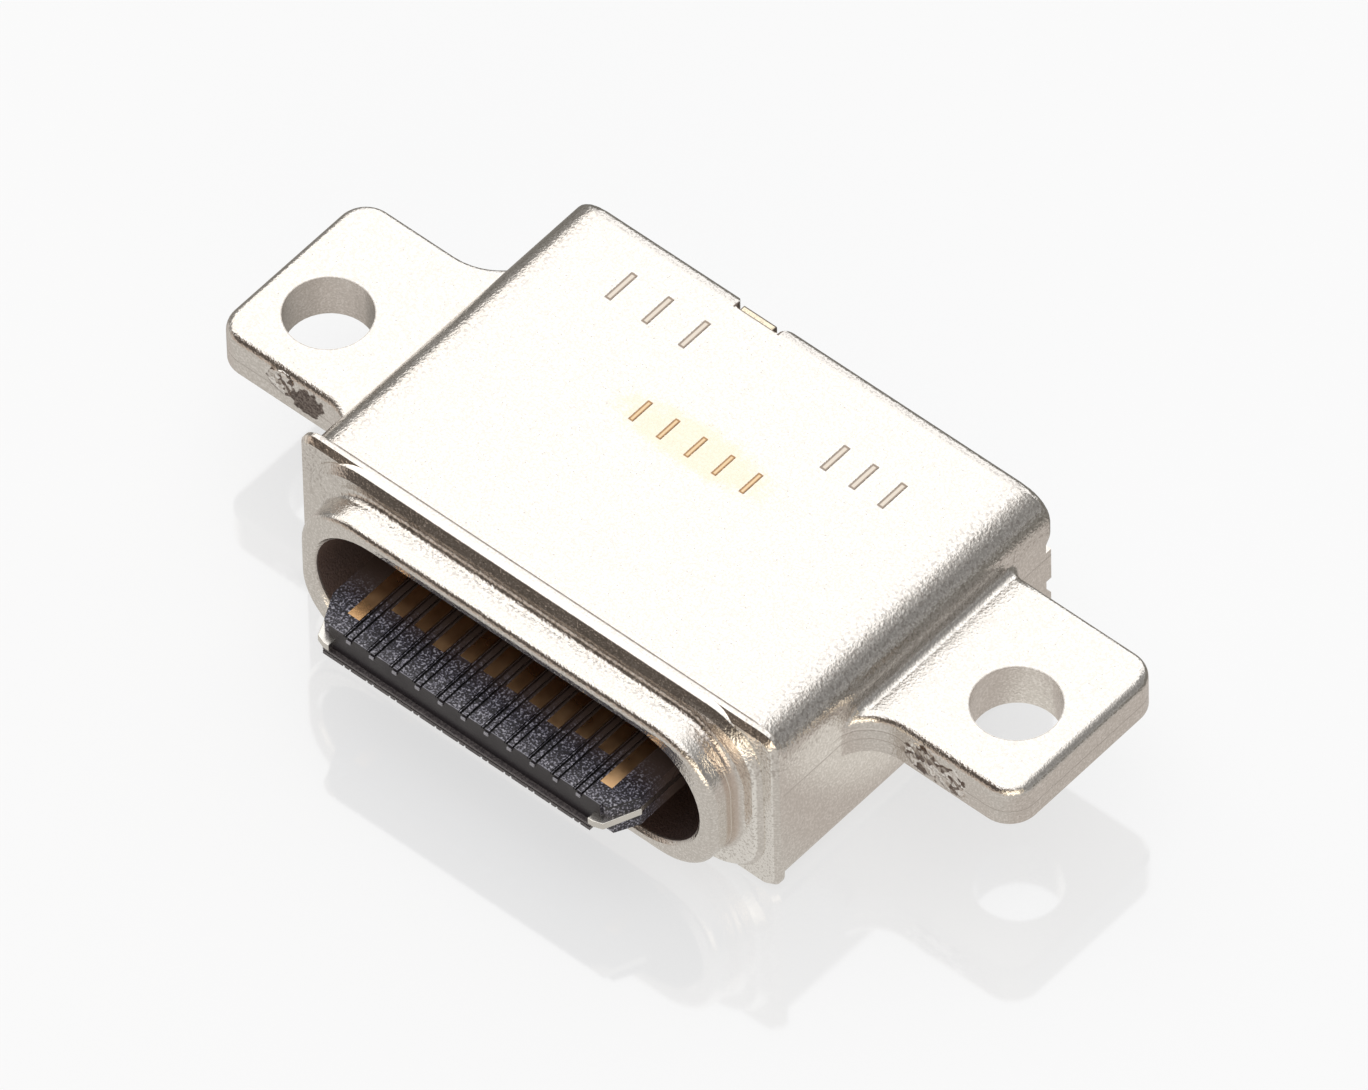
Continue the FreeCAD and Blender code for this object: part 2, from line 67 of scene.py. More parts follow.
# Meshes: points closer than the weld gap are merged. Stamped plates get rounded where they bend sharply.
WELD_GAP = 1e-7
PLATE_EDGE_ROUND = 0.015 * MM
PLATE_FLAT_ANGLE = math.radians(1)
PLATE_EDGE_ANGLE = math.radians(40)

# Places of the two colour sockets among the inputs of a Mix node
MIX_COLOR_A = 6
MIX_COLOR_B = 7

# Places on the part, in millimetres
TOP_ABOVE = 3.70
FLANGE_TOP_ABOVE = 3.65
SCREW_HOLES = ((-7.05, -0.015), (7.05, 0.995))
NOTCH_X = -1.02
TAB_REAR = 3.955
PARTING_HEIGHT = 2.28
LEFT_EAR_FRONT = -1.435
RIGHT_EAR_FRONT = -0.625
MOUTH_MIDDLE_Z = 1.91
MOUTH_HALF_STRAIGHT = 2.89
MOUTH_RADIUS = 1.31
TONGUE_FRONT = -4.681
NUB_FRONT = -4.70

# Scars of broken gates on the ears' front walls: the middle and the half size of each, across and up
LEFT_DARK_SCAR = ((-6.28, 2.36), (0.33, 0.30))
LEFT_TORN_SCAR = ((-6.82, 2.48), (0.34, 0.26))
RIGHT_BRIGHT_SCAR = ((6.42, 2.36), (0.42, 0.32))
RIGHT_TORN_SCAR = ((7.02, 2.30), (0.32, 0.30))

# Rows of plain bars on the top: first bar, pitch, count, width of a bar, and its front and rear end
HOT_ROWS = ((-1.20, 0.60, 5, 0.10, 0.88, 1.40),)
COLD_ROWS = ((-3.20, 0.80, 3, 0.13, 2.60, 3.30), (1.90, 0.62, 3, 0.13, 2.12, 2.76))


def aim_camera():
    """Makes the camera, at the photograph's viewing angle."""
    across = Vector((math.cos(VIEW_AZIMUTH), math.sin(VIEW_AZIMUTH), 0))
    back = Vector((math.sin(VIEW_AZIMUTH) * math.cos(VIEW_ELEVATION),
                   -math.cos(VIEW_AZIMUTH) * math.cos(VIEW_ELEVATION), math.sin(VIEW_ELEVATION)))
    upward = back.cross(across)
    right = across * math.cos(VIEW_ROLL) + upward * math.sin(VIEW_ROLL)
    up = -across * math.sin(VIEW_ROLL) + upward * math.cos(VIEW_ROLL)
    data = bpy.data.cameras.new("photo_camera")
    data.sensor_fit = "HORIZONTAL"
    data.sensor_width = SENSOR_MM
    data.lens = VIEW_FOCAL_PIXELS / FRAME_PIXELS_WIDE * SENSOR_MM
    data.clip_start = 0.05
    data.clip_end = 5.0
    camera = bpy.data.objects.new("photo_camera", data)
    place = VIEW_TARGET + back * VIEW_DISTANCE + right * VIEW_RIGHT_SHIFT + up * VIEW_UP_SHIFT
    turn = Matrix((right, up, back)).transposed().to_4x4()
    camera.matrix_world = Matrix.Translation(place) @ turn
    bpy.context.scene.collection.objects.link(camera)
    bpy.context.scene.camera = camera


def grey(level):
    return (level, level, level)


class Sheet:
    """A node tree being written: add() makes a node, join() links two sockets."""

    def __init__(self, tree):
        self.tree = tree
        tree.nodes.clear()

    def add(self, kind, **values):
        node = self.tree.nodes.new(kind)
        for key, value in values.items():
            if hasattr(node, key):
                setattr(node, key, value)
            else:
                node.inputs[key.replace("_", " ")].default_value = value
        return node

    def join(self, out_socket, in_socket):
        self.tree.links.new(out_socket, in_socket)

    def split(self, vector):
        """The x, y and z of a vector."""
        parts = self.add("ShaderNodeSeparateXYZ")
        self.join(vector, parts.inputs[0])
        return parts.outputs

    def channels(self, color):
        """The red, green and blue of a colour."""
        parts = self.add("ShaderNodeSeparateColor")
        self.join(color, parts.inputs[0])
        return parts.outputs

    def math(self, operation, *values):
        node = self.add("ShaderNodeMath", operation=operation)
        for socket, value in zip(node.inputs, values):
            if isinstance(value, (int, float)):
                socket.default_value = value
            else:
                self.join(value, socket)
        return node.outputs[0]

    def chain(self, operation, values):
        total = values[0]
        for value in values[1:]:
            total = self.math(operation, total, value)
        return total

    def plus(self, first, second):
        return self.math("ADD", first, second)

    def minus(self, first, second):
        return self.math("SUBTRACT", first, second)

    def times(self, first, second):
        return self.math("MULTIPLY", first, second)

    def over(self, first, second):
        return self.math("DIVIDE", first, second)

    def above(self, value, limit):
        return self.math("GREATER_THAN", value, limit)

    def below(self, value, limit):
        return self.math("LESS_THAN", value, limit)

    def size_of(self, value):
        return self.math("ABSOLUTE", value)

    def sum_of_squares(self, first, second):
        return self.plus(self.times(first, first), self.times(second, second))

    def length(self, first, second):
        return self.math("SQRT", self.sum_of_squares(first, second))

    def smooth_step(self, value, start, end):
        """0 on the near side of the start and 1 past the end, which may also lie below the start."""
        node = self.add("ShaderNodeMapRange", interpolation_type="SMOOTHSTEP", From_Min=start, From_Max=end)
        self.join(value, node.inputs["Value"])
        return node.outputs[0]

    def near(self, value, middle, half, soft):
        """1 where a value lies within half of the middle, fading to 0 over the soft width."""
        return self.smooth_step(self.size_of(self.minus(value, middle)), half + soft, half - soft)

    def all_of(self, *masks):
        return self.chain("MULTIPLY", masks)

    def any_of(self, *masks):
        return self.chain("MAXIMUM", masks)

    def ramp(self, fac, *stops):
        node = self.add("ShaderNodeValToRGB")
        elements = node.color_ramp.elements
        while len(elements) < len(stops):
            elements.new(0.5)
        for element, (place, color) in zip(elements, stops):
            element.position = place
            element.color = (*color, 1)
        self.join(fac, node.inputs["Fac"])
        return node.outputs["Color"]

    def mix(self, fac, first, second, blend="MIX"):
        node = self.add("ShaderNodeMix", data_type="RGBA", blend_type=blend)
        sockets = (node.inputs["Factor"], *node.inputs[MIX_COLOR_A:MIX_COLOR_B + 1])
        for socket, value in zip(sockets, (fac, first, second)):
            if isinstance(value, float):
                socket.default_value = value
            elif isinstance(value, tuple):
                socket.default_value = (*value, 1)
            else:
                self.join(value, socket)
        return node.outputs[2]

    def by_ray(self, ray, usual, other):
        """The usual shader, with another one for a single kind of ray."""
        paths = self.add("ShaderNodeLightPath")
        choice = self.add("ShaderNodeMixShader")
        self.join(paths.outputs[ray], choice.inputs["Fac"])
        self.join(usual.outputs[0], choice.inputs[1])
        self.join(other.outputs[0], choice.inputs[2])
        return choice.outputs[0]


def skin_group():
    """Fine uneven skin of a surface, laid in millimetres: a close grain and a wide cloud."""
    tree = bpy.data.node_groups.new("surface_skin", "ShaderNodeTree")
    sheet = Sheet(tree)
    tree.interface.new_socket("Vector", in_out="INPUT", socket_type="NodeSocketVector")
    for label in ("Grain", "Cloud"):
        tree.interface.new_socket(label + " per mm", in_out="INPUT", socket_type="NodeSocketFloat")
        tree.interface.new_socket(label, in_out="OUTPUT", socket_type="NodeSocketFloat")
    source = sheet.add("NodeGroupInput")
    target = sheet.add("NodeGroupOutput")
    for label, detail in (("Grain", 1.0), ("Cloud", 2.0)):
        noise = sheet.add("ShaderNodeTexNoise", Detail=detail, Roughness=0.55)
        sheet.join(source.outputs["Vector"], noise.inputs["Vector"])
        sheet.join(source.outputs[label + " per mm"], noise.inputs["Scale"])
        sheet.join(noise.outputs["Fac"], target.inputs[label])
    return tree


SKIN = skin_group()


class Finish:
    """One material: a Principled shader over the shared skin, whose tone is painted on in layers.

    Its heights are added up, and the height 1 stands out by the depth in millimetres.
    """

    def __init__(self, name, metallic, grain_per_mm, cloud_per_mm, depth_mm):
        self.material = bpy.data.materials.new(name)
        self.material.use_nodes = True
        self.sheet = sheet = Sheet(self.material.node_tree)
        out = sheet.add("ShaderNodeOutputMaterial")
        self.shader = sheet.add("ShaderNodeBsdfPrincipled", Metallic=metallic)
        sheet.join(self.shader.outputs[0], out.inputs["Surface"])
        place = sheet.add("ShaderNodeTexCoord")
        scale = sheet.add("ShaderNodeVectorMath", operation="SCALE", Scale=1 / MM)
        sheet.join(place.outputs["Object"], scale.inputs[0])
        self.in_mm = scale.outputs[0]
        self.x, self.y, self.z = sheet.split(self.in_mm)
        skin = self.pattern("ShaderNodeGroup", node_tree=SKIN)
        skin.inputs["Grain per mm"].default_value = grain_per_mm
        skin.inputs["Cloud per mm"].default_value = cloud_per_mm
        self.grain = skin.outputs["Grain"]
        self.cloud = skin.outputs["Cloud"]
        self.depth_mm = depth_mm
        self.heights = [self.grain]
        self.tone = None

    def pattern(self, kind, **values):
        """A pattern that is laid in millimetres on the object."""
        node = self.sheet.add(kind, **values)
        self.sheet.join(self.in_mm, node.inputs["Vector"])
        return node

    def paint(self, mask, tone, share=1.0):
        """Lays a tone, or a share of it, over what is painted so far, where the mask is 1."""
        if share < 1.0:
            mask = self.sheet.times(mask, share)
        self.tone = self.sheet.mix(mask, self.tone, tone)

    def by_cloud(self, low, high):
        """Tone that wanders between two others with the cloud pattern."""
        return self.sheet.ramp(self.cloud, (0.3, low), (0.7, high))

    def close(self, roughness):
        """Joins what was painted and raised to the shader, and gives the material."""
        sheet = self.sheet
        bump = sheet.add("ShaderNodeBump", Strength=1.0, Distance=self.depth_mm * MM)
        sheet.join(sheet.chain("ADD", self.heights), bump.inputs["Height"])
        sheet.join(bump.outputs[0], self.shader.inputs["Normal"])
        sheet.join(self.tone, self.shader.inputs["Base Color"])
        sheet.join(roughness, self.shader.inputs["Roughness"])
        return self.material


class CastNickel(Finish):
    """Cast and plated skin of the shell. Most methods add one thing that the casting shows; several of them paint
    light and shade.
    """

    def __init__(self):
        super().__init__("satin_nickel", metallic=1.0, grain_per_mm=24.0, cloud_per_mm=1.3, depth_mm=0.0072)
        sheet, x, y = self.sheet, self.x, self.y
        self.tone = sheet.ramp(self.grain, (0.34, (0.69, 0.66, 0.62)), (0.50, (0.735, 0.70, 0.66)),
                               (0.66, (0.86, 0.83, 0.795)))
        self.ragged = self.pattern("ShaderNodeTexNoise", Scale=5.0, Detail=2.0).outputs["Fac"]
        self.coarse = self.pattern("ShaderNodeTexNoise", Scale=16.0, Detail=0.0).outputs["Fac"]
        self.on_top = sheet.above(self.z, TOP_ABOVE)
        self.left_wall = sheet.near(y, LEFT_EAR_FRONT, half=0.05, soft=0.01)
        self.right_wall = sheet.near(y, RIGHT_EAR_FRONT, half=0.05, soft=0.01)
        self.from_holes = sheet.math("MINIMUM", *(sheet.length(sheet.minus(x, hole_x), sheet.minus(y, hole_y))
                                                  for hole_x, hole_y in SCREW_HOLES))

    def pits(self):
        """Round pits of many sizes, in a few of the cells of a fine pattern."""
        sheet = self.sheet
        cells = self.pattern("ShaderNodeTexVoronoi", Scale=22.0)
        chance = sheet.channels(cells.outputs["Color"])
        size = sheet.times(sheet.times(chance[0], 0.29), sheet.above(chance[1], 0.86))
        self.paint(sheet.below(cells.outputs["Distance"], size), (0.50, 0.47, 0.445))

    def edges(self):
        """Painted speckled shade on the rounding along the top's rear edge, and a painted highlight on the flange's
        chamfer.
        """
        sheet, y = self.sheet, self.y
        # Painted shade: a speckled dark line on the rounding of the top's rear edge
        rear_edge_shade = sheet.all_of(sheet.smooth_step(y, 3.83, 3.90), self.on_top, sheet.smooth_step(self.grain, 0.46, 0.60))
        self.paint(rear_edge_shade, (0.50, 0.47, 0.44))
        # Painted highlight on the flange's top chamfer
        chamfer = sheet.all_of(sheet.near(y, -2.825, half=0.045, soft=0.01), sheet.above(self.z, FLANGE_TOP_ABOVE))
        self.paint(chamfer, (1.0, 0.92, 0.83))

    def right_end(self):
        """Painted highlights on the rims of flange and boss on their right, and painted brown shade on the foot of
        the lip with a painted highlight line in it.
        """
        sheet, x, y, z = self.sheet, self.x, self.y, self.z
        # Painted highlights on the right rims of flange and boss
        flange_rim = sheet.all_of(sheet.near(y, -2.868, half=0.010, soft=0.012), sheet.below(z, 3.66))
        boss_rim = sheet.all_of(sheet.near(y, -3.000, half=0.030, soft=0.012), sheet.below(z, 3.74))
        rims = sheet.all_of(sheet.any_of(flange_rim, boss_rim), sheet.above(x, 3.3),
                            sheet.smooth_step(self.grain, 0.36, 0.48))
        self.paint(rims, (1.0, 0.985, 0.95))
        rounding = sheet.all_of(sheet.smooth_step(x, 3.3, 3.7), sheet.smooth_step(z, 3.55, 3.15))
        # Painted shade in brown on the foot of the lip
        brown = sheet.all_of(rounding, sheet.near(y, -3.20, half=0.13, soft=0.04))
        self.paint(brown, (0.56, 0.44, 0.36), share=0.6)
        # Painted highlight: a pale line within the foot's painted shade
        foot_highlight_line = sheet.all_of(rounding, sheet.near(y, -3.22, half=0.008, soft=0.010))
        self.paint(foot_highlight_line, (0.98, 0.94, 0.88), share=0.8)

    def out_of_middle(self, place, size):
        """How far out a point of a wall lies: 0 in the middle of an oval, 1 on its edge."""
        sheet = self.sheet
        return sheet.length(sheet.over(sheet.minus(self.x, place[0]), size[0]),
                            sheet.over(sheet.minus(self.z, place[1]), size[1]))

    def patch(self, wall, place, size):
        """Smooth oval patch on a wall."""
        return self.sheet.all_of(wall, self.sheet.smooth_step(self.out_of_middle(place, size), 1.05, 0.85))

    def blotch(self, wall, place, size):
        """Patch on a wall with a ragged edge."""
        edge = self.sheet.plus(self.out_of_middle(place, size), self.sheet.times(self.ragged, 1.4))
        return self.sheet.all_of(wall, self.sheet.smooth_step(edge, 1.78, 1.62))

    def gate_scars(self):
        """Broken gates on the front walls of both ears. Gives the dark one."""
        sheet = self.sheet
        torn_scars = ((self.left_wall, *LEFT_TORN_SCAR), (self.right_wall, *RIGHT_BRIGHT_SCAR),
                      (self.right_wall, *RIGHT_TORN_SCAR))
        crumbs = self.pattern("ShaderNodeTexVoronoi", Scale=11.0)
        torn_tone = sheet.ramp(sheet.channels(crumbs.outputs["Color"])[0], (0.25, (0.16, 0.12, 0.10)),
                               (0.55, (0.55, 0.50, 0.45)), (0.8, (0.95, 0.93, 0.90)))
        self.paint(sheet.any_of(*(self.blotch(*scar) for scar in torn_scars)), torn_tone)
        dark = self.blotch(self.left_wall, *LEFT_DARK_SCAR)
        self.paint(dark, sheet.ramp(self.grain, (0.35, (0.10, 0.075, 0.065)), (0.75, (0.36, 0.31, 0.28))))
        # Heights leave out the ragged pattern, which would make every render slow
        torn_places = sheet.any_of(*(self.patch(*scar) for scar in torn_scars))
        self.heights.append(sheet.times(sheet.all_of(torn_places, self.coarse), 5.0))
        return dark

    def parting_line(self):
        """Line of the two mould halves round the sides and ears, and at the right ear's root a second step, painted
        as a line of shade and a line of highlight.
        """
        sheet, x, y, z = self.sheet, self.x, self.y, self.z
        outside = sheet.all_of(sheet.above(y, -2.62), sheet.above(sheet.size_of(x), 5.08),
                               sheet.above(self.from_holes, 0.85))
        height = sheet.plus(z, sheet.times(sheet.minus(self.ragged, 0.5), 0.05))
        line = sheet.all_of(sheet.near(height, PARTING_HEIGHT, half=0.008, soft=0.012), outside,
                            sheet.smooth_step(self.grain, 0.30, 0.58))
        root = sheet.all_of(sheet.near(x, 5.60, half=0.50, soft=0.15), sheet.near(y, -1.00, half=0.50, soft=0.10))
        # The step at the right ear's root: a painted shade line and a painted highlight line above it
        step_shade = sheet.all_of(sheet.near(height, 2.50, half=0.006, soft=0.012), root)
        step_highlight = sheet.all_of(sheet.near(height, 2.54, half=0.006, soft=0.012), root)
        self.paint(sheet.any_of(line, step_shade), (0.20, 0.155, 0.13), share=0.6)
        self.paint(step_highlight, (0.98, 0.96, 0.92), share=0.8)
        groove = sheet.all_of(sheet.near(z, PARTING_HEIGHT, half=0.008, soft=0.012), outside)
        self.heights.append(sheet.times(groove, -0.5))

    def crease_shade(self):
        """Painted shade in the crease behind the flange, at the foot and ends of the notch, and round the rims of
        the screw holes. Gives all.
        """
        sheet, y, z = self.sheet, self.y, self.z
        joint = sheet.all_of(sheet.near(y, -2.632, half=0.010, soft=0.010), sheet.above(z, FLANGE_TOP_ABOVE))
        from_notch = sheet.size_of(sheet.minus(self.x, NOTCH_X))
        foot = sheet.all_of(sheet.near(y, 3.840, half=0.010, soft=0.012), sheet.below(from_notch, 0.42))
        ends = sheet.all_of(sheet.near(from_notch, 0.475, half=0.018, soft=0.012), sheet.above(y, 3.82))
        notch = sheet.all_of(sheet.any_of(foot, ends), sheet.above(z, 3.3))
        rim = sheet.all_of(sheet.near(self.from_holes, 0.788, half=0.004, soft=0.008), sheet.above(z, 2.78))
        # Painted shade: dark in the crease, the notch and round the screw holes
        crease_shade = sheet.any_of(joint, notch, sheet.times(rim, 0.7))
        self.paint(crease_shade, (0.16, 0.125, 0.105))
        return crease_shade

    def coarse_skin(self):
        """Coarser cast skin on the long roundings of the body and round the root of the lip."""
        sheet, z = self.sheet, self.z
        rounding = sheet.all_of(sheet.near(sheet.size_of(self.x), 4.85, half=0.42, soft=0.15),
                                sheet.smooth_step(z, 2.80, 2.95))
        lip_root = sheet.all_of(sheet.near(self.y, -3.18, half=0.16, soft=0.06), sheet.smooth_step(z, 2.6, 2.8))
        places = sheet.any_of(rounding, lip_root)
        dull = sheet.all_of(places, sheet.smooth_step(self.coarse, 0.56, 0.66))
        self.paint(dull, (0.42, 0.38, 0.35), share=0.5)
        self.heights.append(sheet.times(places, sheet.times(self.coarse, 0.6)))

    def heat_tint(self):
        """Straw tint that heat left round the middle row of bars."""
        sheet = self.sheet
        spread = sheet.sum_of_squares(sheet.over(self.x, 1.75), sheet.over(sheet.minus(self.y, 1.14), 0.52))
        edge = sheet.plus(spread, sheet.times(self.ragged, 1.2))
        self.paint(sheet.all_of(self.on_top, sheet.smooth_step(edge, 1.9, 0.9)), (0.77, 0.655, 0.49), share=0.65)

    def tick_row(self, first, pitch, count, width, front, rear):
        """Row of short plain bars across the top, 1 on the bars."""
        sheet, soft = self.sheet, 0.012
        turn = sheet.over(sheet.minus(self.x, first - pitch / 2), pitch)
        inside = sheet.near(turn, count / 2, half=count / 2, soft=0.01)
        bar = sheet.near(sheet.math("FRACT", turn), 0.5, half=width / 2 / pitch, soft=soft / pitch)
        return sheet.all_of(inside, bar, sheet.near(self.y, (front + rear) / 2, half=(rear - front) / 2, soft=soft))

    def bars(self, rows, floor_share, inset, wall_tone, floor_tone):
        """Sunk bars on the top, each with a paler floor inside its dark walls; the walls' dark is partly the bars'
        own colour and partly painted shade.
        """
        sheet = self.sheet
        floor_rows = [(first, pitch, count, width * floor_share, front + inset, rear - inset)
                      for first, pitch, count, width, front, rear in rows]
        bars = sheet.all_of(self.on_top, sheet.any_of(*(self.tick_row(*row) for row in rows)))
        floors = sheet.any_of(*(self.tick_row(*row) for row in floor_rows))
        # The walls' dark: the bars' own colour, with painted shade in the groove
        self.paint(bars, wall_tone)
        self.paint(sheet.all_of(bars, floors), floor_tone)
        self.heights.append(sheet.times(bars, -1.0))

    def mouth(self):
        """Rough wall inside the mouth in painted brown shade that darkens to the right, and a painted highlight at
        the left end of its edge. Gives the inside.
        """
        sheet, x, y = self.sheet, self.x, self.y
        beyond = sheet.math("MAXIMUM", sheet.minus(sheet.size_of(x), MOUTH_HALF_STRAIGHT), 0.0)
        reach = sheet.length(beyond, sheet.minus(self.z, MOUTH_MIDDLE_Z))
        inside = sheet.all_of(sheet.below(reach, MOUTH_RADIUS), sheet.smooth_step(y, -3.66, -3.56))
        # Painted shade: the wall inside the mouth in dark brown, darker to the right
        self.paint(inside, sheet.mix(sheet.smooth_step(x, -3.2, 2.6), (0.22, 0.155, 0.135), (0.145, 0.102, 0.094)))
        # Painted highlight along the left end of the mouth's edge
        edge = sheet.all_of(sheet.near(reach, MOUTH_RADIUS, half=0.05, soft=0.02), sheet.below(x, -3.2),
                            sheet.below(y, -3.70))
        self.paint(edge, (1.0, 0.96, 0.88))
        self.heights.append(sheet.all_of(inside, self.grain))
        return inside


def satin_nickel():
    """The shell's nickel, dulled at the dark scar, in the painted shade of its creases and inside the mouth."""
    finish = CastNickel()
    finish.pits()
    finish.edges()
    finish.right_end()
    dark_scar = finish.gate_scars()
    finish.parting_line()
    crease_shade = finish.crease_shade()
    finish.coarse_skin()
    finish.heat_tint()
    finish.bars(HOT_ROWS, floor_share=0.45, inset=0.03, wall_tone=(0.33, 0.19, 0.09),
                floor_tone=(0.66, 0.50, 0.32))
    finish.bars(COLD_ROWS, floor_share=0.50, inset=0.04, wall_tone=(0.27, 0.22, 0.18),
                floor_tone=(0.60, 0.54, 0.47))
    inside = finish.mouth()
    sheet = finish.sheet
    sheet.join(sheet.minus(1.0, sheet.times(inside, 0.55)), finish.shader.inputs["Metallic"])
    roughness = sheet.mix(inside, finish.by_cloud(grey(0.13), grey(0.19)), grey(0.5))
    return finish.close(sheet.mix(sheet.any_of(dark_scar, crease_shade), roughness, grey(0.5)))


def bright_steel():
    """Bright rolled steel, whose tab in the shell's notch has a straw stain and an outline of painted shade where it
    meets the notch.
    """
    finish = Finish("bright_steel", metallic=1.0, grain_per_mm=26.0, cloud_per_mm=1.5, depth_mm=0.0012)
    sheet = finish.sheet
    finish.tone = finish.by_cloud((0.74, 0.72, 0.68), (0.82, 0.80, 0.76))
    on_tab = sheet.above(finish.z, 3.6)
    stain = sheet.times(sheet.smooth_step(finish.grain, 0.50, 0.62), 0.6)
    finish.paint(on_tab, sheet.mix(stain, (0.78, 0.70, 0.55), (0.45, 0.38, 0.28)))
    # Painted shade: a dark line round the tab's ends and rear edge, in the gap to the notch
    ends = sheet.above(sheet.size_of(sheet.minus(finish.x, NOTCH_X)), 0.335)
    outline = sheet.any_of(ends, sheet.smooth_step(finish.y, TAB_REAR - 0.035, TAB_REAR - 0.025))
    finish.paint(sheet.all_of(on_tab, outline), (0.14, 0.12, 0.10))
    return finish.close(finish.by_cloud(grey(0.23), grey(0.28)))


def satin_gold():
    """Thin gold of the contacts."""
    finish = Finish("satin_gold", metallic=1.0, grain_per_mm=22.0, cloud_per_mm=1.8, depth_mm=0.0010)
    finish.tone = finish.by_cloud((0.80, 0.49, 0.245), (0.96, 0.63, 0.345))
    return finish.close(finish.by_cloud(grey(0.24), grey(0.36)))


def black_resin():
    """Glass-filled black resin: painted bluish glints above, lit brighter toward the tip, a plain dark front with
    pale nubs and a paler band of painted sheen.
    """
    finish = Finish("black_resin", metallic=0.0, grain_per_mm=26.0, cloud_per_mm=2.0, depth_mm=0.0040)
    finish.shader.inputs["Specular IOR Level"].default_value = 0.40
    sheet, y, z, grain = finish.sheet, finish.y, finish.z, finish.grain
    # Painted glints: the grain's bright bluish flecks stand in for highlights
    finish.tone = sheet.ramp(grain, (0.44, (0.008, 0.007, 0.012)), (0.53, (0.036, 0.034, 0.052)),
                             (0.60, (0.130, 0.130, 0.175)), (0.70, (0.38, 0.38, 0.45)))
    # Painted light: the flecks grow brighter toward the tip
    tip_tone = sheet.ramp(grain, (0.42, (0.030, 0.029, 0.036)), (0.51, (0.105, 0.102, 0.130)),
                          (0.60, (0.270, 0.270, 0.320)), (0.70, (0.52, 0.52, 0.58)))
    finish.paint(sheet.smooth_step(y, -4.28, -4.64), tip_tone, share=0.62)
    # Painted highlight: a thin pale line where the pads end
    pad_end_highlight = sheet.all_of(sheet.near(y, -4.674, half=0.006, soft=0.006), sheet.above(z, 2.25))
    finish.paint(pad_end_highlight, (0.34, 0.34, 0.40), share=0.7)
    # Painted shade on the groove floors
    groove = sheet.all_of(sheet.near(z, 2.222, half=0.018, soft=0.004), sheet.above(y, TONGUE_FRONT))
    finish.paint(groove, (0.008, 0.007, 0.009))
    finish.paint(sheet.below(y, TONGUE_FRONT), (0.020, 0.017, 0.021))
    finish.paint(sheet.below(y, NUB_FRONT), (0.30, 0.30, 0.34))
    # Painted sheen: the band in front is paler
    band = sheet.all_of(sheet.below(y, -4.69), sheet.below(z, 1.80))
    finish.paint(band, sheet.ramp(grain, (0.40, (0.062, 0.055, 0.060)), (0.60, (0.120, 0.108, 0.112))))
    # Painted light: a dim brown tone lifts the resin deep in the mouth
    finish.paint(sheet.smooth_step(y, -4.2, -3.3), (0.085, 0.060, 0.052))
    return finish.close(finish.by_cloud(grey(0.26), grey(0.40)))


def seal_resin():
    """Poured dark seal at the back."""
    finish = Finish("seal_resin", metallic=0.0, grain_per_mm=8.0, cloud_per_mm=1.0, depth_mm=0.003)
    finish.tone = finish.by_cloud((0.03, 0.028, 0.026), (0.06, 0.056, 0.05))
    return finish.close(finish.by_cloud(grey(0.28), grey(0.42)))


def corner_normals(mesh):
    """Normals for the corners of a mesh: faces square to the axes keep theirs, roundings between them turn."""
    count = len(mesh.polygons)
    normals = np.empty(count * 3)
    areas = np.empty(count)
    mesh.polygons.foreach_get("normal", normals)
    mesh.polygons.foreach_get("area", areas)
    normals = normals.reshape(count, 3)
    faces_of_edge = {}
    faces_of_vertex = [[] for _ in mesh.vertices]
    for face in mesh.polygons:
        for key in face.edge_keys:
            faces_of_edge.setdefault(key, []).append(face.index)
        for vertex in face.vertices:
            faces_of_vertex[vertex].append(face.index)
    parent = list(range(count))

    def root(index):
        while parent[index] != index:
            parent[index] = parent[parent[index]]
            index = parent[index]
        return index

    flat_cosine = math.cos(FLAT_ANGLE)
    for pair in faces_of_edge.values():
        if len(pair) == 2 and normals[pair[0]] @ normals[pair[1]] > flat_cosine:
            parent[root(pair[0])] = root(pair[1])
    group = [root(index) for index in range(count)]
    weight = dict.fromkeys(group, 0.0)
    for index in range(count):
        square_on = np.abs(normals[index]).max() > SQUARE_ON_COSINE
        weight[group[index]] += areas[index] * (SQUARE_ON_WEIGHT if square_on else 1.0)
    sharp_cosine = math.cos(SHARP_ANGLE)
    corners = []
    for face in mesh.polygons:
        own = normals[face.index]
        for vertex in face.vertices:
            total = np.zeros(3)
            seen = set()
            for other in faces_of_vertex[vertex]:
                if group[other] not in seen and own @ normals[other] > sharp_cosine:
                    seen.add(group[other])
                    total += normals[other] * weight[group[other]]
            corners.append(total / max(np.linalg.norm(total), LEAST_LENGTH))
    return corners


def round_edges(work):
    """Gives a stamped plate's edges their small rounding."""
    bmesh.ops.dissolve_limit(work, angle_limit=PLATE_FLAT_ANGLE, verts=work.verts, edges=work.edges)
    sharp = [edge for edge in work.edges if edge.calc_face_angle(0.0) > PLATE_EDGE_ANGLE]
    bmesh.ops.bevel(work, geom=sharp, offset=PLATE_EDGE_ROUND, offset_type="OFFSET", segments=2,
                    profile=0.5, affect="EDGES", clamp_overlap=True)
    bmesh.ops.triangulate(work, faces=work.faces)


def smooth_copy(node_name, piece_name, material, stamped):
    """Copy of a node's mesh with its doubles merged and its roundings shaded smooth."""
    mesh = bpy.data.meshes.new(piece_name)
    work = bmesh.new()
    work.from_mesh(NODES[node_name].data)
    bmesh.ops.remove_doubles(work, verts=work.verts, dist=WELD_GAP)
    if stamped:
        round_edges(work)
    work.to_mesh(mesh)
    work.free()
    mesh.shade_smooth()
    mesh.normals_split_custom_set(corner_normals(mesh))
    mesh.materials.append(material)
    piece = bpy.data.objects.new(piece_name, mesh)
    bpy.context.scene.collection.objects.link(piece)
    return piece


def dress(node_name, material):
    for slot in NODES[node_name].material_slots:
        slot.material = material


